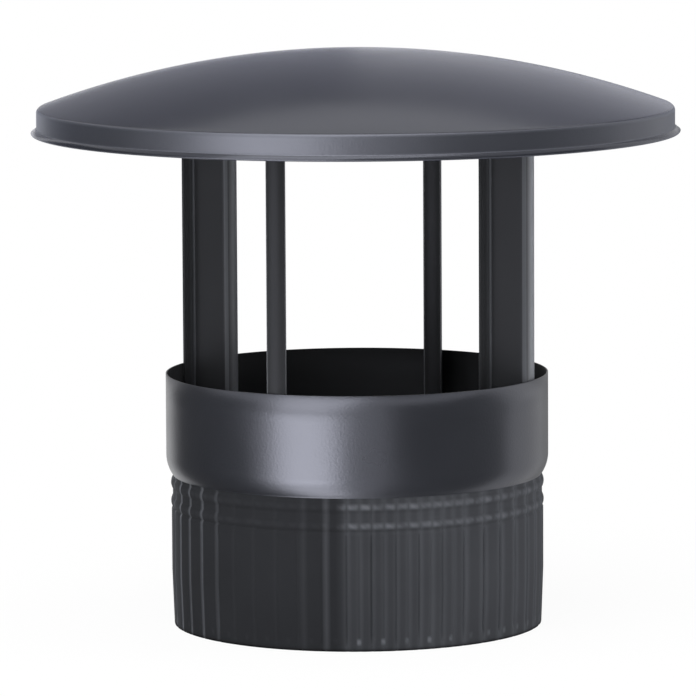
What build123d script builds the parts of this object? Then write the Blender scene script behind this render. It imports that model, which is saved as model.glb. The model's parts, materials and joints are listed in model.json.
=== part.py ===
from build123d import *

import os
from math import asin, atan, cos, degrees, radians, sin, sqrt, tan

# Rain cap for a 150 mm flue: a pressed dome stands on four folded legs, which are spot-welded
# inside a tube whose lower end is swaged, beaded and crimped to push into the pipe below.
# Origin: centre of the tube's bottom edge. +Z is up, and -Y is the front.

os.makedirs("parts", exist_ok=True)

# Flue tube, rolled and welded from one sheet
tube_sheet = 0.8
tube_height = 100.3
collar_diameter = 152.0
spigot_diameter = 148.0
spigot_end_diameter = 146.4
spigot_taper_height = 22.0
spigot_land_height = 46.0

# Two beads stiffen the spigot between the crimps and the shoulder
bead_count = 2
bead_root_diameter = 147.0
bead_crest_diameter = 148.4
bead_width = 4.4
bead_pitch = 7.4
bead_start_gap = 1.1
bead_top_gap = 1.2
shoulder_height = 7.9

# Crimps folded into the spigot, each a V that runs out below the beads
crimp_count = 48
crimp_depth = 1.0
crimp_width = 2.2
crimp_straight_height = 41.0
crimp_runout_height = 6.0
crimp_overshoot = 0.4

# Legs, folded from strip into a Z, named in the order in which they stand round the tube
leg_names = ("leg_front_right", "leg_back_right", "leg_back_left", "leg_front_left")
leg_first_angle = -45.0
leg_sheet = 1.0
leg_bend_radius = 1.2
leg_outer_flange = 8.8
leg_web_depth = 16.8
leg_inner_flange = 8.3
leg_web_lean = 4.5
leg_lap = 24.0
leg_tab_length = 14.0
leg_notch_depth = 4.0

# Cap, pressed from one disc
cap_sheet = 0.8
outlet_gap = 95.5
cap_depth = 32.6
dome_radius = 363.0
cap_wall_diameter = 252.4
cap_lip_diameter = 257.0
cap_flare_height = 1.7
cap_corner_radius = 2.0
cap_flare_radius = 1.2

# Clearances at the spot welds
collar_weld_gap = 0.1
cap_weld_gap = 0.1

# Heights that follow from the sizes above
cap_base_z = tube_height + outlet_gap
apex_z = cap_base_z + cap_depth
dome_centre_z = apex_z - dome_radius


def export_piece(piece, name):
    """Name a finished piece and write it as a STEP file."""
    piece.label = name
    export_step(piece, f"parts/{name}.step")


# Flue tube: the outside line, from the bottom edge up over the beads and the shoulder
spigot_radius = spigot_diameter / 2
spigot_end_radius = spigot_end_diameter / 2
collar_radius = collar_diameter / 2
bead_root = bead_root_diameter / 2
bead_crest = bead_crest_diameter / 2
bead_zone_z = spigot_land_height + bead_start_gap
shoulder_z = bead_zone_z + (bead_count - 1) * bead_pitch + bead_width + bead_top_gap

# The shoulder curves through a quarter turn at most, and a deeper step runs level from its foot
shoulder_foot = max(bead_root, collar_radius - shoulder_height)

with BuildLine() as tube_outline:
    Polyline(
        (spigot_end_radius, 0),
        (spigot_radius, spigot_taper_height),
        (spigot_radius, spigot_land_height),
        (bead_root, bead_zone_z),
    )
    for bead in range(bead_count):
        low = bead_zone_z + bead * bead_pitch
        crest = low + bead_width / 2
        high = low + bead_width
        ThreePointArc((bead_root, low), (bead_crest, crest), (bead_root, high))
        if bead < bead_count - 1:
            Line((bead_root, high), (bead_root, low + bead_pitch))
    Line((bead_root, shoulder_z - bead_top_gap), (bead_root, shoulder_z))
    if shoulder_foot > bead_root:
        Line((bead_root, shoulder_z), (shoulder_foot, shoulder_z))
    TangentArc(
        (collar_radius, shoulder_z + shoulder_height),
        (shoulder_foot, shoulder_z),
        tangent=(0, -1),
    )
    Line((collar_radius, shoulder_z + shoulder_height), (collar_radius, tube_height))

# One crimp as a wedge-shaped cutter: its edge follows the taper, then rises out of the spigot
crimp_slope = crimp_width / 2 / crimp_depth
crimp_half_angle = atan(crimp_slope)
spigot_taper = spigot_radius - spigot_end_radius
cutter_margin = 1.0
cutter_radius = max(spigot_radius, spigot_end_radius) + cutter_margin
runout_rise = (crimp_depth + crimp_overshoot) / crimp_runout_height


def crimp_edge_radius(height):
    """Radius of the crimp's valley at a height on the spigot's outside."""
    taper_left = max(0, 1 - height / spigot_taper_height)
    runout = max(0, height - crimp_straight_height) * runout_rise
    return spigot_radius - spigot_taper * taper_left - crimp_depth + runout


def crimp_cutter(inset):
    """Wedge that folds a crimp, with its edge moved towards the axis by the inset."""
    stations = (
        -cutter_margin,
        spigot_taper_height,
        crimp_straight_height,
        crimp_straight_height + crimp_runout_height,
    )
    with BuildPart() as cutter:
        for height in stations:
            edge_radius = crimp_edge_radius(height) - inset
            half_mouth = (cutter_radius - edge_radius) * crimp_slope
            with BuildSketch(Plane.XY.offset(height)):
                with BuildLine():
                    Polyline(
                        (edge_radius, 0),
                        (cutter_radius, half_mouth),
                        (cutter_radius, -half_mouth),
                        close=True,
                    )
                make_face()
        loft(ruled=True)
    return cutter.part


outer_crimp = crimp_cutter(0)
inner_crimp = crimp_cutter(tube_sheet / sin(crimp_half_angle))

with BuildPart() as tube_wall:
    with BuildSketch(Plane.XZ):
        with BuildLine():
            add(tube_outline.line)
            offset(amount=tube_sheet, side=Side.LEFT, kind=Kind.INTERSECTION)
        make_face()
    revolve(axis=Axis.Z)

with BuildPart() as tube_form:
    with BuildSketch(Plane.XZ):
        with BuildLine():
            add(tube_outline.line)
            Polyline(
                (spigot_end_radius, 0),
                (0, 0),
                (0, tube_height),
                (collar_radius, tube_height),
            )
        make_face()
    revolve(axis=Axis.Z)

with BuildPart() as flue_way:
    add(tube_form.part)
    add(tube_wall.part, mode=Mode.SUBTRACT)
    with PolarLocations(0, crimp_count):
        add(inner_crimp, mode=Mode.SUBTRACT)

with BuildPart() as flue_tube:
    add(tube_form.part)
    with PolarLocations(0, crimp_count):
        add(outer_crimp, mode=Mode.SUBTRACT)
    add(flue_way.part, mode=Mode.SUBTRACT)

export_piece(flue_tube.part, "flue_tube")

# Cap: a shallow dome, a rounded corner, a short wall and a flared lip, in one sheet
cap_wall_radius = cap_wall_diameter / 2
cap_lip_radius = cap_lip_diameter / 2
corner_reach = cap_wall_radius - cap_corner_radius
corner_distance = dome_radius - cap_corner_radius
corner_z = dome_centre_z + sqrt(corner_distance**2 - corner_reach**2)
dome_spread = degrees(asin(corner_reach / corner_distance))
flare_angle = atan((cap_lip_radius - cap_wall_radius) / cap_flare_height)
lip_z = cap_base_z + cap_sheet * sin(flare_angle)
flare_z = lip_z + cap_flare_height

with BuildPart() as cap:
    with BuildSketch(Plane.XZ):
        with BuildLine():
            CenterArc((0, dome_centre_z), dome_radius, 90, -dome_spread)
            CenterArc((corner_reach, corner_z), cap_corner_radius, 90 - dome_spread, dome_spread - 90)
            FilletPolyline(
                (cap_wall_radius, corner_z),
                (cap_wall_radius, flare_z),
                (cap_lip_radius, lip_z),
                radius=cap_flare_radius,
            )
            offset(amount=cap_sheet, side=Side.RIGHT)
        make_face()
    revolve(axis=Axis.Z)

export_piece(cap.part, "cap")

# Leg: the outer flange lies on the collar's wall, the web stands across the gap and the inner
# flange turns the other way. Drawn with the flange's middle on the X axis.
half_flange = leg_outer_flange / 2
flange_face_x = sqrt((collar_radius - tube_sheet - collar_weld_gap) ** 2 - half_flange**2)
flange_x = flange_face_x - leg_sheet / 2
web_lean = radians(leg_web_lean)
web_length = leg_web_depth - leg_sheet
inner_length = leg_inner_flange - leg_sheet / 2
outer_bend = Vector(flange_x, leg_sheet / 2 - half_flange)
inner_bend = outer_bend + Vector(-cos(web_lean), sin(web_lean)) * web_length
inner_end = inner_bend + Vector(-sin(web_lean), -cos(web_lean)) * inner_length
bend_middle_radius = leg_bend_radius + leg_sheet / 2

# Tab at the leg's top: bent inwards so that its corners meet the inside of the dome
dome_inside = dome_radius - cap_sheet - cap_weld_gap
tab_end_x = flange_face_x - leg_tab_length
tab_root_z = dome_centre_z + sqrt(dome_inside**2 - flange_face_x**2 - half_flange**2)
tab_end_z = dome_centre_z + sqrt(dome_inside**2 - tab_end_x**2 - half_flange**2)
tab_slope = atan((tab_end_z - tab_root_z) / leg_tab_length)
tab_drop = leg_sheet / 2 / cos(tab_slope)
leg_base_z = tube_height - leg_lap
notch_z = tab_root_z - leg_notch_depth
strip_width = leg_outer_flange - leg_sheet - leg_bend_radius

with BuildPart() as leg:
    with BuildSketch(Plane.XY.offset(leg_base_z)):
        with BuildLine():
            FilletPolyline(
                (flange_x, half_flange),
                outer_bend,
                inner_bend,
                inner_end,
                radius=bend_middle_radius,
            )
        trace(line_width=leg_sheet)
    extrude(amount=notch_z - leg_base_z)
    with BuildSketch(Plane.XZ.offset(-half_flange)):
        with BuildLine():
            FilletPolyline(
                (flange_x, leg_base_z),
                (flange_x, tab_root_z - tab_drop + leg_sheet / 2 * tan(tab_slope)),
                (tab_end_x, tab_end_z - tab_drop),
                radius=bend_middle_radius,
            )
        trace(line_width=leg_sheet)
    extrude(amount=strip_width)

leg_spacing = 360 / len(leg_names)
for index, name in enumerate(leg_names):
    with BuildPart() as placed_leg:
        add(leg.part, rotation=(0, 0, leg_first_angle + index * leg_spacing))
    export_piece(placed_leg.part, name)
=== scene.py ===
import json
import math
import random

import bpy
from mathutils import Matrix, Vector


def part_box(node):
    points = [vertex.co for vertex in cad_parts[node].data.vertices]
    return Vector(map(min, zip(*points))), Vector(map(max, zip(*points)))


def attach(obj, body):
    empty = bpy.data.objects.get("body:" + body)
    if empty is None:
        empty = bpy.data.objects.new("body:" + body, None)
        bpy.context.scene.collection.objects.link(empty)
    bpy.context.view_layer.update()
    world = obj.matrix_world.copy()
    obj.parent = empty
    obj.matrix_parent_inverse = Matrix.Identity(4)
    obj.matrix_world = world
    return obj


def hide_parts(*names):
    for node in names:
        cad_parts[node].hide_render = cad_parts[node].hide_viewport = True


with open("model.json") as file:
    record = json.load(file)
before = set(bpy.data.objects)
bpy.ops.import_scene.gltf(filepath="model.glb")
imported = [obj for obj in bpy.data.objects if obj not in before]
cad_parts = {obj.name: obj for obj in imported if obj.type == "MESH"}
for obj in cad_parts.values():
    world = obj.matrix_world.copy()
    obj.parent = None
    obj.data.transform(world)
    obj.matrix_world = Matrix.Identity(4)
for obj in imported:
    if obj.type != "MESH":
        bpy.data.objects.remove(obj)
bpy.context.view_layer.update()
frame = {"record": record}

# Chimney rain cap: a pressed dome on four folded legs, welded into a beaded and crimped tube.
# Lengths are in metres, and MM turns a size in millimetres into one. Angles round the tube are
# in degrees from +X, and azimuths in the studio are in degrees to the right of the camera.
MM = 0.001

cap_low, cap_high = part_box("cap")
tube_top_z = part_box("flue_tube")[1].z
leg_base_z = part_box("leg_front_right")[0].z
mounts = {mount["name"]: mount for mount in frame["record"]["mounts"]}
spigot_radius = mounts["spigot"]["dims"]["r_mm"] * MM
collar_radius = mounts["collar"]["dims"]["r_mm"] * MM

# Tube
tube_sheet = 0.8 * MM
spigot_end_radius = 73.2 * MM
spigot_taper_height = 22 * MM
spigot_land_height = 46 * MM
foot_edge_height = 1 * MM
foot_edge_growth = 0.03 * MM
foot_zone_height = 6 * MM
foot_zone_growth = 0.22 * MM
bead_root = 73.5 * MM
bead_rise = 0.7 * MM
bead_width = 4.4 * MM
bead_pitch = 7.4 * MM
bead_zone_z = 47.1 * MM
bead_count = 2
shoulder_z = 60.1 * MM
shoulder_height = 7.9 * MM

# Crimps: folds that run out at the beads and go on as notches in them
crimp_count = 48
crimp_depth = 1.0 * MM
crimp_half_width = 1.25 * MM
crimp_first_angle = math.radians(-0.75)
crimp_top_z = 41 * MM
crimp_top_spare = 2 * MM
crimp_runout = 6 * MM
crimp_foot_z = 2.4 * MM
crimp_foot_ramp = 2.6 * MM
crimp_foot_share = 0.3
crimp_swell = 0.6
notch_share = 0.5
notch_fade = 1.5 * MM

# Ranges from which the folds' differences are drawn: a shift in degrees, factors for the depth
# and the width, and shifts of the top and the foot in millimetres
fold_seed = 7
fold_shift = 0.25
fold_depths = (0.75, 1.1)
fold_widths = (0.85, 1.2)
fold_tops = (-1.5, 1.5)
fold_feet = (-0.5, 0.8)

# Angles between which the folds are flat, and between which there are more at half pitch
flat_folds = (-156, -116)
flat_fold_share = 0.35
double_folds = (-115, -78)
double_fold_share = 0.5

# Cap
cap_sheet = 0.8 * MM
dome_radius = 363 * MM
cap_wall_radius = 126.2 * MM
cap_flare_height = 1.7 * MM
cap_corner_radius = 2 * MM
cap_flare_radius = 1.2 * MM
wall_steepness = 0.7

# Legs, of which two have a lighter paint on their folds: painted highlights on the bends
leg_sheet = 1.0 * MM
leg_bend_radius = 1.2 * MM
leg_outer_flange = 8.8 * MM
leg_web_depth = 16.8 * MM
leg_inner_flange = 8.3 * MM
leg_web_lean = math.radians(4.5)
leg_tab_length = 14 * MM
leg_notch_depth = 4 * MM
weld_gap = 0.1 * MM
leg_angles = {
    "leg_front_right": -45,
    "leg_back_right": 45,
    "leg_back_left": 135,
    "leg_front_left": 225,
}
fold_highlight_legs = ("leg_back_left", "leg_front_right")
fold_slant = 0.4

# Cut edges of the sheets: the rounding, and how far it goes back and in as shares of it
edge_round = 0.25 * MM
edge_back = 0.3
edge_in = 0.1

# Rows and columns of faces
crimp_columns = 24
run_rows = 2
fold_rows = 10
bead_rows = 10
bead_gap_rows = 3
shoulder_rows = 14
collar_rows = 3
cap_columns = 320
dome_rows = 48
corner_rows = 12
flare_rows = 6
bend_columns = 8
leg_rows = 30
tab_rows = 6

# Paint
white = (1, 1, 1, 1)
anthracite = (0.0125, 0.0135, 0.0165)
leg_haze = (0.72, 0.75, 0.82)
specular_tint = (0.83, 0.85, 1.0, 1.0)
haze_roughness = 0.4
drift_scale = 28
drift_detail = 4
gloss_drift = (0.3, 0.7)
grain_scale = 1100
grain_detail = 3
grain_height = 0.06 * MM

# The spigot's painted shade and painted highlights round the tube, as pairs of an angle and a level:
# darker left of the seam line, lighter round the rest, with highlight lines on the seam, the folds, the
# bands beside them, the folds at half pitch, and the marks on beads and tips
painted_shade_levels = (
    (-180, 0.60), (-158, 0.56), (-127.5, 0.52), (-126.5, 0.75), (-125.5, 0.52), (-120.2, 0.52),
    (-119.3, 1.4), (-118.4, 0.52), (-115.6, 0.54), (-114.6, 1.0), (-100, 1.0), (-86, 1.15),
    (-75, 1.1), (-62, 1.2), (-38, 1.2), (40, 1.1), (120, 0.9), (160, 1.3), (172, 1.1),
    (180, 0.7),
)
fold_highlight_levels = (
    (-180, 3.0), (-166, 2.6), (-158, 0.8), (-152, 0.1), (-115, 0.1), (-114, 0.0), (0, 0.2),
    (150, 1.5), (180, 3.0),
)
band_highlight_levels = ((-78, 0.0), (-76, 0.35), (-20, 0.4), (20, 0.0))
half_pitch_highlight_levels = ((-115.1, 0.0), (-114.6, 0.28), (-80, 0.28), (-76, 0.0))
mark_highlight_levels = (
    (-180, 0.2), (-115.5, 0.1), (-115, 1.3), (-86, 0.9), (-50, 0.5), (-30, 0.3), (60, 0.3),
    (180, 0.2),
)

# Distances from the middle of a painted highlight line at which it starts and ends to fade, in pitches
fold_line = (0.02, 0.14)
band_line = (0.1, 0.32)
half_pitch_line = (0.05, 0.19)
bead_line = (0.04, 0.22)
bead_dash_gap = (0.0, 0.14)
bead_dash_level = 0.15
tip_line = (0.04, 0.12)

# Painted highlights on the tips at the folds' feet, and a painted shadow along the bottom edge
tip_first_angle = -109.7
tip_pitch = 7.3
tip_foot = (2.2 * MM, 3.4 * MM)
tip_top = (4.2 * MM, 5.5 * MM)
painted_bottom_shadow = (0.3 * MM, 1.5 * MM)
painted_bottom_shadow_level = 0.3

# Noise that makes the painted highlights on beads and tips uneven, along the angle plus turns for the
# height
unevenness_scale = 0.22
unevenness_detail = 2
unevenness_turn = 900
unevenness_range = (0.35, 0.65)
unevenness_levels = (0.45, 1.5)

# Camera, fitted to the outline of the photographed cap
camera_azimuth = math.radians(-20)
camera_distance = 2.3934
camera_height = 0.4085
camera_lens = 314.0
camera_pitch = math.radians(7.118)
camera_yaw = math.radians(-0.083)
camera_roll = math.radians(-0.3)

# Floor and world
world_level = 0.35
floor_radius = 0.45
floor_columns = 96
floor_colour = (0.86, 0.86, 0.86, 1)
floor_roughness = 0.9
floor_specular = 0.1
floor_shadow_reach = (0.1, 0.3)
floor_white_share = 0.95

# Soft lights: azimuth, elevation, distance, size, radiance, the height that they face, and
# whether they show in reflections
soft_lights = {
    "key": (-31, -5, 2.2, (1.5, 1.5), 5.0, 0.1, True),
    "key_above": (-31, 42, 2.2, (1.5, 1.9), 3.6, 0.1, True),
    "top": (-20, 80, 2.0, (1.6, 1.4), 3.6, 0.2, True),
    "side": (88, 5, 1.7, (0.95, 1.25), 7, 0.1, False),
}

# Cards, hidden from the camera: the azimuths of their two ends, the bottom's height, the top's
# height at the two ends, the distance, and the brightness at the bottom and at the top
cards = {
    "card_left": ((-62, -140), -5, (1.3, 1.3), 1.8, (0.10, 0.10)),
    "card_right": ((20, 100), -5, (1.5, 1.5), 1.8, (0.16, 0.16)),
    "card_right_behind": ((112, 147), -5, (0.28, 0.28), 2.0, (0.75, 0.75)),
    "card_behind_left": ((-150, -180), 0.3, (1.95, 1.78), 2.0, (0.32, 0.15)),
    "card_behind_right": ((-180, -225), 0.3, (1.78, 1.78), 2.0, (0.60, 0.22)),
    "card_behind_low": ((-183, -212), -5, (0.28, 0.28), 2.0, (0.35, 0.35)),
    "card_low": ((-12, -50), -6, (-0.66, -0.66), 2.2, (5.0, 5.0)),
}
card_columns = 24

# Places that follow from the sizes above
dome_centre_z = cap_high.z - dome_radius
dome_inside = dome_radius - cap_sheet - weld_gap
half_flange = leg_outer_flange / 2
leg_bend = leg_bend_radius + leg_sheet / 2
leg_face_x = math.sqrt((collar_radius - tube_sheet - weld_gap) ** 2 - half_flange**2)
flange_x = leg_face_x - leg_sheet / 2
tab_end_x = leg_face_x - leg_tab_length
tab_root_z = dome_centre_z + math.sqrt(dome_inside**2 - leg_face_x**2 - half_flange**2)
tab_end_z = dome_centre_z + math.sqrt(dome_inside**2 - tab_end_x**2 - half_flange**2)
notch_z = tab_root_z - leg_notch_depth


# Lines and meshes
def even_steps(start, end, count):
    """Numbers from the start to the end, in a count of even steps."""
    return [start + (end - start) * step / count for step in range(count + 1)]


def arc_points(centre, radius, start, end, steps):
    """Points on an arc in the (r, z) plane, with its two angles in radians."""
    points = []
    for angle in even_steps(start, end, steps):
        points.append((centre[0] + radius * math.cos(angle), centre[1] + radius * math.sin(angle)))
    return points


def line_points(start, end, steps):
    """Points on a straight run, without its first point."""
    points = []
    for step in range(1, steps + 1):
        share = step / steps
        points.append((start[0] + (end[0] - start[0]) * share, start[1] + (end[1] - start[1]) * share))
    return points


def filleted(corners, radius, steps):
    """An open line in a plane whose inner corners are rounded."""
    points = [Vector(corners[0])]
    for before, corner, after in zip(corners, corners[1:], corners[2:]):
        corner = Vector(corner)
        back = (Vector(before) - corner).normalized()
        ahead = (Vector(after) - corner).normalized()
        half_angle = back.angle(ahead) / 2
        reach = radius / math.tan(half_angle)
        centre = corner + (back + ahead).normalized() * radius / math.sin(half_angle)
        first = corner + back * reach - centre
        last = corner + ahead * reach - centre
        turn = first.angle_signed(last)
        for step in range(steps + 1):
            spin = Matrix.Rotation(-turn * step / steps, 2)
            points.append(centre + spin @ first)
    points.append(Vector(corners[-1]))
    return points


def offset_side(points, amount):
    """The same line moved sideways by an amount, to its right."""
    moved = []
    for index, point in enumerate(points):
        before = points[max(index - 1, 0)]
        after = points[min(index + 1, len(points) - 1)]
        along = (Vector(after) - Vector(before)).normalized()
        moved.append(Vector(point) + Vector((along.y, -along.x)) * amount)
    return moved


def raw_edge(start, end, out):
    """The slightly rounded cut edge of a sheet, between its two faces."""
    start = Vector(start)
    end = Vector(end)
    out = Vector(out).normalized()
    across = (end - start).normalized()
    return [
        tuple(start - out * edge_round * edge_back + across * edge_round * edge_in),
        tuple(start + across * edge_round),
        tuple(end - across * edge_round),
        tuple(end - out * edge_round * edge_back - across * edge_round * edge_in),
    ]


def new_mesh_object(name, vertices, faces, materials):
    """A mesh object in the scene."""
    mesh = bpy.data.meshes.new(name)
    mesh.from_pydata(vertices, [], faces)
    for material in materials:
        mesh.materials.append(material)
    mesh.update()
    mesh_object = bpy.data.objects.new(name, mesh)
    bpy.context.scene.collection.objects.link(mesh_object)
    return mesh_object


def add_piece(name, vertices, faces, materials, node):
    """A smooth mesh that stands for a CAD node and rides on the rigid body."""
    piece = new_mesh_object(name, vertices, faces, materials)
    piece.data.polygons.foreach_set("use_smooth", [True] * len(faces))
    piece.data.update()
    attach(piece, "root")
    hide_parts(node)
    return piece


def revolve(profile, columns, shift=None):
    """Vertices and faces of a closed profile turned about Z. A shift moves each point inwards."""
    vertices = []
    rings = []
    for radius, height in profile:
        if radius == 0:
            rings.append([len(vertices)] * columns)
            vertices.append((0, 0, height))
            continue
        rings.append(list(range(len(vertices), len(vertices) + columns)))
        for column in range(columns):
            angle = 2 * math.pi * column / columns
            reach = radius - (shift(angle, height) if shift else 0)
            vertices.append((reach * math.cos(angle), reach * math.sin(angle), height))
    faces = []
    for lower, upper in zip(rings, rings[1:] + rings[:1]):
        for column in range(columns):
            following = (column + 1) % columns
            corners = [lower[column], lower[following], upper[following], upper[column]]
            face = list(dict.fromkeys(corners))
            if len(face) > 2:
                faces.append(face)
    return vertices, faces


def sweep(loop, place, stations):
    """Vertices and faces of a closed loop placed at each station, with its ends closed."""
    vertices = []
    faces = []
    count = len(loop)
    for station in stations:
        for point in loop:
            vertices.append(place(point, station))
    for row in range(len(stations) - 1):
        for index in range(count):
            following = (index + 1) % count
            start = row * count
            above = start + count
            faces.append([start + index, above + index, above + following, start + following])
    faces.append(list(range(count)))
    last = (len(stations) - 1) * count
    faces.append([last + index for index in range(count)][::-1])
    return vertices, faces


# Cap
def cap_profile():
    """The cap's outside line, from the apex to the lip, and its inside line."""
    corner_r = cap_wall_radius - cap_corner_radius
    corner_z = dome_centre_z + math.sqrt((dome_radius - cap_corner_radius) ** 2 - corner_r**2)
    spread = math.asin(corner_r / (dome_radius - cap_corner_radius))
    lip_radius = cap_high.x
    flare_angle = math.atan((lip_radius - cap_wall_radius) / cap_flare_height)
    lip_z = cap_low.z + cap_sheet * math.sin(flare_angle)
    flare_z = lip_z + cap_flare_height
    quarter = math.pi / 2
    outside = arc_points((0, dome_centre_z), dome_radius, quarter, quarter - spread, dome_rows)
    outside[0] = (0, cap_high.z)
    outside += arc_points((corner_r, corner_z), cap_corner_radius, quarter - spread, 0, corner_rows)[1:]
    wall = [(cap_wall_radius, corner_z), (cap_wall_radius, flare_z), (lip_radius, lip_z)]
    outside += [tuple(point) for point in filleted(wall, cap_flare_radius, flare_rows)][1:]
    inside = [tuple(point) for point in offset_side(outside, cap_sheet)]
    inside[0] = (0, cap_high.z - cap_sheet)
    return outside, inside


def make_cap(materials):
    """The cap, with the dome's paint and, where it is steep, the wall's."""
    outside, inside = cap_profile()
    out = Vector(outside[-1]) - Vector(outside[-2])
    profile = outside[:-1] + raw_edge(outside[-1], inside[-1], out) + inside[-2::-1]
    vertices, faces = revolve(profile[::-1], cap_columns)
    piece = add_piece("cap_sheet", vertices, faces, materials, "cap")
    for polygon in piece.data.polygons:
        if abs(polygon.normal.z) < wall_steepness:
            polygon.material_index = 1


# Tube
def tube_outside():
    """The tube's outside line, from the bottom edge over the beads and the shoulder to the top."""
    points = [(spigot_end_radius, 0)]
    for radius, height, rows in (
        (spigot_end_radius + foot_edge_growth, foot_edge_height, run_rows),
        (spigot_end_radius + foot_zone_growth, foot_zone_height, fold_rows),
        (spigot_radius, spigot_taper_height, run_rows),
        (spigot_radius, crimp_top_z - crimp_top_spare, run_rows),
        (spigot_radius, spigot_land_height, fold_rows),
        (bead_root, bead_zone_z, run_rows),
    ):
        points += line_points(points[-1], (radius, height), rows)
    arc_radius = ((bead_width / 2) ** 2 + bead_rise**2) / (2 * bead_rise)
    half_turn = math.asin(bead_width / 2 / arc_radius)
    for bead in range(bead_count):
        middle_z = bead_zone_z + bead * bead_pitch + bead_width / 2
        centre = (bead_root + bead_rise - arc_radius, middle_z)
        points += arc_points(centre, arc_radius, -half_turn, half_turn, bead_rows)[1:]
        if bead < bead_count - 1:
            next_foot = (bead_root, middle_z + bead_pitch - bead_width / 2)
            points += line_points(points[-1], next_foot, bead_gap_rows)
    points += line_points(points[-1], (bead_root, shoulder_z), run_rows)
    run = collar_radius - bead_root
    bend = (run**2 + shoulder_height**2) / (2 * run)
    turn = math.asin(shoulder_height / bend)
    centre = (collar_radius - bend, shoulder_z + shoulder_height)
    points += arc_points(centre, bend, -turn, 0, shoulder_rows)[1:]
    points += line_points(points[-1], (collar_radius, tube_top_z), collar_rows)
    return points


class Crimps:
    """The folds of the spigot: each one differs a little in place, depth, width and length."""

    def __init__(self):
        draw = random.Random(fold_seed)
        self.pitch = 2 * math.pi / crimp_count
        self.folds = []
        for index in range(crimp_count):
            shift = math.radians(draw.uniform(-fold_shift, fold_shift))
            place = crimp_first_angle + index * self.pitch + shift
            degrees = (math.degrees(place) + 180) % 360 - 180
            flat = flat_folds[0] < degrees < flat_folds[1]
            double = double_folds[0] < degrees + math.degrees(self.pitch) / 2 < double_folds[1]
            self.folds.append({
                "angle": place,
                "depth": draw.uniform(*fold_depths) * (flat_fold_share if flat else 1),
                "second": double_fold_share if double else 0,
                "width": draw.uniform(*fold_widths),
                "top": draw.uniform(*fold_tops) * MM,
                "foot": draw.uniform(*fold_feet) * MM,
            })

    def height_share(self, height, fold):
        """How deep a fold is at a height, as a share of its full depth."""
        if height > bead_zone_z:
            return notch_share * min(1, max(0, (shoulder_z - height) / notch_fade))
        runout = min(1, max(0, (height - crimp_top_z - fold["top"]) / crimp_runout))
        foot = min(1, max(0, (height - crimp_foot_z - fold["foot"]) / crimp_foot_ramp))
        body = crimp_foot_share + (1 - crimp_foot_share) * foot
        return body * (1 - runout) + notch_share * runout

    def fold_depth(self, away, height, fold, depth):
        """How far one fold pushes the sheet in at an angle away from its middle."""
        away = (away + math.pi) % (2 * math.pi) - math.pi
        across = abs(away) * spigot_radius / (crimp_half_width * fold["width"])
        if across >= 1 or depth == 0:
            return 0
        form = (1 - across) ** 2 * (1 + crimp_swell * across)
        return crimp_depth * depth * form * self.height_share(height, fold)

    def depth(self, angle, height):
        """How far the sheet is pushed in at a place."""
        if height > shoulder_z:
            return 0
        steps = (angle - crimp_first_angle) / self.pitch
        fold = self.folds[round(steps) % crimp_count]
        first = self.fold_depth(angle - fold["angle"], height, fold, fold["depth"])
        fold = self.folds[math.floor(steps) % crimp_count]
        half_way = fold["angle"] + self.pitch / 2
        return max(first, self.fold_depth(angle - half_way, height, fold, fold["second"]))


def make_tube(materials):
    """The tube, with the collar's paint, the spigot's below the shoulder, and the bore's inside."""
    outside = tube_outside()
    inside = [tuple(point) for point in offset_side(outside, -tube_sheet)]
    inside[0] = (outside[0][0] - tube_sheet, 0)
    inside[-1] = (outside[-1][0] - tube_sheet, outside[-1][1])
    top_edge = raw_edge(outside[-1], inside[-1], (0, 1))
    bottom_edge = raw_edge(inside[0], outside[0], (0, -1))
    profile = outside[1:-1] + top_edge + inside[-2:0:-1] + bottom_edge
    vertices, faces = revolve(profile, crimp_count * crimp_columns, Crimps().depth)
    piece = add_piece("flue_tube_sheet", vertices, faces, materials, "flue_tube")
    for polygon in piece.data.polygons:
        outward = polygon.normal.x * polygon.center.x + polygon.normal.y * polygon.center.y
        if outward < 0:
            polygon.material_index = 2
        elif polygon.center.z < shoulder_z:
            polygon.material_index = 1


# Legs
def strip_loop(line):
    """The closed outline of a leg's bent sheet along its middle line, with rounded cut edges."""
    left = offset_side(line, -leg_sheet / 2)
    right = offset_side(line, leg_sheet / 2)
    loop = [tuple(point) for point in left[1:-1]]
    loop += raw_edge(left[-1], right[-1], line[-1] - line[-2])
    loop += [tuple(point) for point in right[-2:0:-1]]
    loop += raw_edge(right[0], left[0], line[0] - line[1])
    return loop


def leg_strip():
    """Vertices and faces of a leg's folded strip, whose outer flange lies across the X axis."""
    outer_bend = Vector((flange_x, leg_sheet / 2 - half_flange))
    web = Vector((-math.cos(leg_web_lean), math.sin(leg_web_lean)))
    inner_bend = outer_bend + web * (leg_web_depth - leg_sheet)
    inner = Vector((-math.sin(leg_web_lean), -math.cos(leg_web_lean)))
    inner_end = inner_bend + inner * (leg_inner_flange - leg_sheet / 2)
    corners = [(flange_x, half_flange), outer_bend, inner_bend, inner_end]
    section = strip_loop(filleted(corners, leg_bend, bend_columns))
    heights = even_steps(leg_base_z, notch_z, leg_rows)
    return sweep(section, lambda point, height: (point[0], point[1], height), heights)


def leg_tab():
    """Vertices and faces of the tab that goes on from the outer flange and bends under the dome."""
    slope = math.atan((tab_end_z - tab_root_z) / leg_tab_length)
    drop = leg_sheet / 2 / math.cos(slope)
    corner = (flange_x, tab_root_z - drop + leg_sheet / 2 * math.tan(slope))
    corners = [(flange_x, notch_z), corner, (tab_end_x, tab_end_z - drop)]
    section = strip_loop(filleted(corners, leg_bend, bend_columns))
    tab_width = leg_outer_flange - leg_sheet - leg_bend_radius
    places = even_steps(half_flange, half_flange - tab_width, tab_rows)
    return sweep(section, lambda point, y: (point[0], y, point[1]), places)


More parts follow.
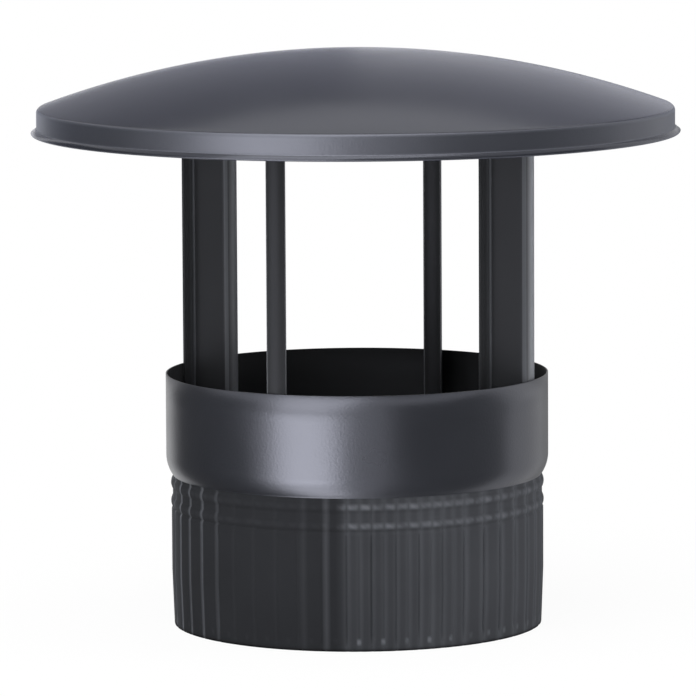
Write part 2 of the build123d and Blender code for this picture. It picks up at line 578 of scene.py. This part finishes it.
def make_legs(materials):
    """The four legs, with the lighter fold paint, painted highlights, on the slanting faces of two of
    them.
    """
    vertices, faces = leg_strip()
    tab_vertices, tab_faces = leg_tab()
    faces += [[index + len(vertices) for index in face] for face in tab_faces]
    vertices += tab_vertices
    for node, angle in leg_angles.items():
        turn = Matrix.Rotation(math.radians(angle), 3, "Z")
        placed = [turn @ Vector(vertex) for vertex in vertices]
        piece = add_piece(node + "_sheet", placed, faces, materials, node)
        if node not in fold_highlight_legs:
            continue
        for polygon in piece.data.polygons:
            facing = turn.inverted() @ polygon.normal
            if min(abs(facing.x), abs(facing.y)) > fold_slant:
                polygon.material_index = 1


# Shader nodes
def feed(tree, socket, value):
    """Give a socket a number, or link another node's output to it."""
    if isinstance(value, (int, float)):
        socket.default_value = value
    else:
        tree.links.new(value, socket)


def calculate(tree, operation, *values):
    """The output of a Math node for numbers or other nodes' outputs."""
    node = tree.nodes.new("ShaderNodeMath")
    node.operation = operation
    for socket, value in zip(node.inputs, values):
        feed(tree, socket, value)
    return node.outputs[0]


def product(tree, first, *others):
    """Several outputs multiplied together."""
    for other in others:
        first = calculate(tree, "MULTIPLY", first, other)
    return first


def between(tree, value, span, low, high):
    """A value that goes from low to high as another goes through a span."""
    node = tree.nodes.new("ShaderNodeMapRange")
    tree.links.new(value, node.inputs["Value"])
    node.inputs["From Min"].default_value = span[0]
    node.inputs["From Max"].default_value = span[1]
    node.inputs["To Min"].default_value = low
    node.inputs["To Max"].default_value = high
    return node.outputs["Result"]


def by_angle(tree, turn, levels):
    """A level that follows the angle round the tube."""
    node = tree.nodes.new("ShaderNodeValToRGB")
    tree.links.new(turn, node.inputs["Fac"])
    elements = node.color_ramp.elements
    while len(elements) > 1:
        elements.remove(elements[-1])
    for index, (degrees, level) in enumerate(levels):
        position = degrees / 360 + 0.5
        element = elements[0] if index == 0 else elements.new(position)
        element.position = position
        element.color = (level, level, level, 1)
    return node.outputs["Color"]


def object_place(tree):
    """The place on the object."""
    return tree.nodes.new("ShaderNodeTexCoord").outputs["Object"]


def height_of(tree, place):
    """The height of a place."""
    split = tree.nodes.new("ShaderNodeSeparateXYZ")
    tree.links.new(place, split.inputs[0])
    return split.outputs["Z"]


def noise(tree, place, scale, detail):
    """Noise over the object."""
    node = tree.nodes.new("ShaderNodeTexNoise")
    node.inputs["Scale"].default_value = scale
    node.inputs["Detail"].default_value = detail
    tree.links.new(place, node.inputs["Vector"])
    return node.outputs["Fac"]


def mixed(tree, factor, first, second):
    """Two shaders mixed by a factor."""
    mix = tree.nodes.new("ShaderNodeMixShader")
    tree.links.new(factor, mix.inputs["Fac"])
    tree.links.new(first, mix.inputs[1])
    tree.links.new(second, mix.inputs[2])
    return mix.outputs[0]


def white_glow(tree, level):
    """A white emission of a level."""
    glow = tree.nodes.new("ShaderNodeEmission")
    glow.inputs["Color"].default_value = white
    feed(tree, glow.inputs["Strength"], level)
    return glow.outputs[0]


# Painted light and shade on the spigot
def painted_fold_highlights(tree, turn, from_fold, from_half_fold):
    """Painted highlight lines on the folds, painted highlight bands beside them, and lines on the folds
    at half pitch.
    """
    painted_highlights = 0
    for distance, line, levels in (
        (from_fold, fold_line, fold_highlight_levels),
        (from_fold, band_line, band_highlight_levels),
        (from_half_fold, half_pitch_line, half_pitch_highlight_levels),
    ):
        amount = product(tree, between(tree, distance, line, 1, 0), by_angle(tree, turn, levels))
        painted_highlights = calculate(tree, "ADD", amount, painted_highlights)
    return painted_highlights


def painted_bead_highlights(tree, height, from_half_fold, marks):
    """Painted highlight dashes along the crests of the beads."""
    crest = bead_zone_z + bead_width / 2
    from_crest = calculate(tree, "DIVIDE", calculate(tree, "SUBTRACT", height, crest), bead_pitch)
    line = between(tree, calculate(tree, "PINGPONG", from_crest, 0.5), bead_line, 1, 0)
    in_bead_zone = calculate(tree, "GREATER_THAN", height, spigot_land_height)
    dashes = between(tree, from_half_fold, bead_dash_gap, bead_dash_level, 1)
    return product(tree, line, in_bead_zone, dashes, marks)


def painted_tip_highlights(tree, angle, height, marks):
    """Painted highlights on the tips at the folds' feet."""
    steps = calculate(tree, "DIVIDE", calculate(tree, "SUBTRACT", angle, tip_first_angle), tip_pitch)
    across = between(tree, calculate(tree, "PINGPONG", steps, 0.5), tip_line, 1, 0)
    above_foot = between(tree, height, tip_foot, 0, 1)
    below_top = between(tree, height, tip_top, 1, 0)
    return product(tree, across, above_foot, below_top, marks)


def uneven_marks(tree, turn, angle, height):
    """How strong the painted highlights on beads and tips are: by side, and uneven from one to the
    next.
    """
    unevenness = tree.nodes.new("ShaderNodeTexNoise")
    unevenness.noise_dimensions = "1D"
    unevenness.inputs["Scale"].default_value = unevenness_scale
    unevenness.inputs["Detail"].default_value = unevenness_detail
    tree.links.new(calculate(tree, "MULTIPLY_ADD", height, unevenness_turn, angle), unevenness.inputs["W"])
    level = between(tree, unevenness.outputs["Fac"], unevenness_range, unevenness_levels[0], unevenness_levels[1])
    return product(tree, by_angle(tree, turn, mark_highlight_levels), level)


def painted_spigot_light_and_shade(tree):
    """How light the spigot's paint is: painted shade round the tube, painted highlights on its folds,
    beads and tips, and a painted shadow along the bottom edge.
    """
    place = object_place(tree)
    height = height_of(tree, place)
    radial = tree.nodes.new("ShaderNodeTexGradient")
    radial.gradient_type = "RADIAL"
    tree.links.new(place, radial.inputs["Vector"])
    turn = radial.outputs["Fac"]
    angle = calculate(tree, "MULTIPLY_ADD", turn, 360, -180)
    from_first = calculate(tree, "SUBTRACT", angle, math.degrees(crimp_first_angle))
    steps = calculate(tree, "DIVIDE", from_first, 360 / crimp_count)
    from_fold = calculate(tree, "PINGPONG", steps, 0.5)
    from_half_fold = calculate(tree, "PINGPONG", steps, 0.25)
    marks = uneven_marks(tree, turn, angle, height)
    painted_highlights = painted_fold_highlights(tree, turn, from_fold, from_half_fold)
    painted_highlights = calculate(tree, "ADD", painted_highlights, painted_bead_highlights(tree, height, from_half_fold, marks))
    painted_highlights = calculate(tree, "ADD", painted_highlights, painted_tip_highlights(tree, angle, height, marks))
    # Painted shadow along the bottom edge of the tube
    edge = between(tree, height, painted_bottom_shadow, painted_bottom_shadow_level, 1)
    return product(tree, by_angle(tree, turn, painted_shade_levels), edge, calculate(tree, "ADD", painted_highlights, 1))


def paint(name, colour, roughness, specular, grain, variation=0.15, haze=None, shade=None):
    """Satin stove paint: a fine grain in the surface and a slow drift of gloss and shade.

    The roughness is a range. The haze is a tinted sheen. The shade is a function that makes a
    factor for the colour.
    """
    material = bpy.data.materials.new(name)
    material.use_nodes = True
    tree = material.node_tree
    shader = tree.nodes["Principled BSDF"]
    shader.inputs["Specular IOR Level"].default_value = specular
    shader.inputs["Specular Tint"].default_value = specular_tint
    if haze:
        strongest = max(haze)
        shader.inputs["Sheen Weight"].default_value = strongest
        shader.inputs["Sheen Roughness"].default_value = haze_roughness
        shader.inputs["Sheen Tint"].default_value = tuple(part / strongest for part in haze) + (1,)
    place = object_place(tree)
    drift = noise(tree, place, drift_scale, drift_detail)
    mix = tree.nodes.new("ShaderNodeMix")
    mix.data_type = "RGBA"
    tree.links.new(drift, mix.inputs["Factor"])
    mix.inputs["A"].default_value = tuple(channel * (1 - variation) for channel in colour) + (1,)
    mix.inputs["B"].default_value = tuple(channel * (1 + variation) for channel in colour) + (1,)
    base = mix.outputs["Result"]
    if shade:
        scaled = tree.nodes.new("ShaderNodeVectorMath")
        scaled.operation = "SCALE"
        tree.links.new(base, scaled.inputs[0])
        tree.links.new(shade(tree), scaled.inputs["Scale"])
        base = scaled.outputs["Vector"]
    tree.links.new(base, shader.inputs["Base Color"])
    gloss = between(tree, drift, gloss_drift, roughness[0], roughness[1])
    tree.links.new(gloss, shader.inputs["Roughness"])
    bump = tree.nodes.new("ShaderNodeBump")
    bump.inputs["Strength"].default_value = grain
    bump.inputs["Distance"].default_value = grain_height
    tree.links.new(noise(tree, place, grain_scale, grain_detail), bump.inputs["Height"])
    tree.links.new(bump.outputs["Normal"], shader.inputs["Normal"])
    return material


# Studio
def white_to_the_eye(tree, share):
    """A factor that is the share for camera, glossy and transmission rays, and 0 for others."""
    path = tree.nodes.new("ShaderNodeLightPath")
    seen = calculate(tree, "MAXIMUM", path.outputs["Is Camera Ray"], path.outputs["Is Glossy Ray"])
    seen = calculate(tree, "MAXIMUM", seen, path.outputs["Is Transmission Ray"])
    return product(tree, seen, share)


def make_world():
    """A world that is white to the eye and dim as a light."""
    world = bpy.data.worlds.new("studio")
    world.use_nodes = True
    bpy.context.scene.world = world
    tree = world.node_tree
    dim = tree.nodes["Background"]
    dim.inputs["Color"].default_value = white
    dim.inputs["Strength"].default_value = world_level
    bright = tree.nodes.new("ShaderNodeBackground")
    bright.inputs["Color"].default_value = white
    bright.inputs["Strength"].default_value = 1
    surface = mixed(tree, white_to_the_eye(tree, 1), dim.outputs[0], bright.outputs[0])
    tree.links.new(surface, tree.nodes["World Output"].inputs["Surface"])


def make_floor():
    """A round white floor that keeps a trace of the object's shadow near it."""
    vertices = [(0, 0, 0)]
    for column in range(floor_columns):
        angle = 2 * math.pi * column / floor_columns
        vertices.append((floor_radius * math.cos(angle), floor_radius * math.sin(angle), 0))
    faces = [[0, 1 + column, 1 + (column + 1) % floor_columns] for column in range(floor_columns)]
    material = bpy.data.materials.new("floor_white")
    material.use_nodes = True
    tree = material.node_tree
    board = tree.nodes["Principled BSDF"]
    board.inputs["Base Color"].default_value = floor_colour
    board.inputs["Roughness"].default_value = floor_roughness
    board.inputs["Specular IOR Level"].default_value = floor_specular
    away = tree.nodes.new("ShaderNodeVectorMath")
    away.operation = "LENGTH"
    tree.links.new(object_place(tree), away.inputs[0])
    share = between(tree, away.outputs["Value"], floor_shadow_reach, floor_white_share, 1)
    surface = mixed(tree, white_to_the_eye(tree, share), board.outputs[0], white_glow(tree, 1))
    tree.links.new(surface, tree.nodes["Material Output"].inputs["Surface"])
    floor = new_mesh_object("floor", vertices, faces, [material])
    floor.visible_glossy = False


def seen_direction(azimuth, elevation):
    """A direction from the object, with its azimuth counted to the right of the camera."""
    angle = camera_azimuth - math.pi / 2 + math.radians(azimuth)
    rise = math.radians(elevation)
    return Vector((
        math.cos(angle) * math.cos(rise), math.sin(angle) * math.cos(rise), math.sin(rise)
    ))


def make_softbox(name, azimuth, elevation, distance, size, radiance, target_z, reflected):
    """A rectangular soft light that faces a point on the tube's axis."""
    light = bpy.data.lights.new(name, "AREA")
    light.shape = "RECTANGLE"
    light.size = size[0]
    light.size_y = size[1]
    light.energy = radiance * math.pi * size[0] * size[1]
    lamp = bpy.data.objects.new(name, light)
    lamp.visible_glossy = reflected
    away = seen_direction(azimuth, elevation)
    lamp.location = Vector((0, 0, target_z)) + away * distance
    lamp.rotation_euler = away.to_track_quat("Z", "Y").to_euler()
    bpy.context.scene.collection.objects.link(lamp)


def make_card(name, azimuths, bottom_z, top_ends, distance, levels):
    """A curved, glowing card round the object."""
    vertices = []
    all_azimuths = even_steps(azimuths[0], azimuths[1], card_columns)
    all_tops = even_steps(top_ends[0], top_ends[1], card_columns)
    for azimuth, top_z in zip(all_azimuths, all_tops):
        away = seen_direction(azimuth, 0) * distance
        vertices.append((away.x, away.y, bottom_z))
        vertices.append((away.x, away.y, top_z))
    faces = []
    for column in range(card_columns):
        first = 2 * column
        faces.append([first, first + 2, first + 3, first + 1])
    material = bpy.data.materials.new(name)
    material.use_nodes = True
    tree = material.node_tree
    height = height_of(tree, object_place(tree))
    level = between(tree, height, (bottom_z, max(top_ends)), levels[0], levels[1])
    tree.links.new(white_glow(tree, level), tree.nodes["Material Output"].inputs["Surface"])
    card = new_mesh_object(name, vertices, faces, [material])
    card.visible_camera = False


def make_camera():
    """The camera, at the photograph's viewing angle."""
    turn = Matrix.Rotation(camera_azimuth, 3, "Z")
    forward = Vector((
        math.sin(camera_yaw) * math.cos(camera_pitch),
        math.cos(camera_yaw) * math.cos(camera_pitch),
        -math.sin(camera_pitch),
    ))
    level_right = forward.cross(Vector((0, 0, 1))).normalized()
    level_up = level_right.cross(forward)
    right = level_right * math.cos(camera_roll) + level_up * math.sin(camera_roll)
    up = level_up * math.cos(camera_roll) - level_right * math.sin(camera_roll)
    axes = Matrix((right, up, -forward)).transposed()
    camera = bpy.data.objects.new("camera", bpy.data.cameras.new("camera"))
    camera.data.lens = camera_lens
    place = turn @ Vector((0, -camera_distance, camera_height))
    camera.matrix_world = Matrix.Translation(place) @ (turn @ axes).to_4x4()
    bpy.context.scene.collection.objects.link(camera)
    bpy.context.scene.camera = camera


dome_paint = paint(
    "dome_paint", anthracite, roughness=(0.18, 0.22), specular=0.45, grain=0.5,
    haze=(0.050, 0.056, 0.108),
)
# A lighter copy of the dome's paint on the cap's steep wall: painted light
wall_paint = paint(
    "wall_paint", (0.020, 0.0215, 0.026), roughness=(0.39, 0.45), specular=0.92, grain=0.8,
    haze=(0.05, 0.06, 0.1),
)
collar_paint = paint("collar_paint", anthracite, roughness=(0.27, 0.33), specular=1.0, grain=0.8)
# The spigot's colour carries painted shade round the tube, painted highlights and a painted shadow at
# the foot
spigot_paint = paint(
    "spigot_paint", (0.0352, 0.0368, 0.0412), roughness=(0.55, 0.65), specular=0.02, grain=0.35,
    variation=0.2, shade=painted_spigot_light_and_shade,
)
# A duller, lighter copy of the collar's paint inside the tube: painted light in the bore
bore_paint = paint(
    "bore_paint", (0.0165, 0.017, 0.018), roughness=(0.55, 0.65), specular=0.1, grain=0.25,
    variation=0.2,
)
leg_paint = paint(
    "leg_paint", (0.019, 0.0195, 0.021), roughness=(0.37, 0.43), specular=0.08, grain=0.2,
    haze=leg_haze,
)
# A lighter copy of the legs' paint on the bends of two legs: painted highlights
fold_highlight_paint = paint(
    "fold_highlight_paint", (0.070, 0.073, 0.080), roughness=(0.37, 0.43), specular=0.2, grain=0.2,
    haze=leg_haze,
)

make_cap([dome_paint, wall_paint])
make_tube([collar_paint, spigot_paint, bore_paint])
make_legs([leg_paint, fold_highlight_paint])
make_world()
make_floor()
for name, settings in soft_lights.items():
    make_softbox(name, *settings)
for name, settings in cards.items():
    make_card(name, *settings)
make_camera()

scene = bpy.context.scene
scene.view_settings.view_transform = "Standard"
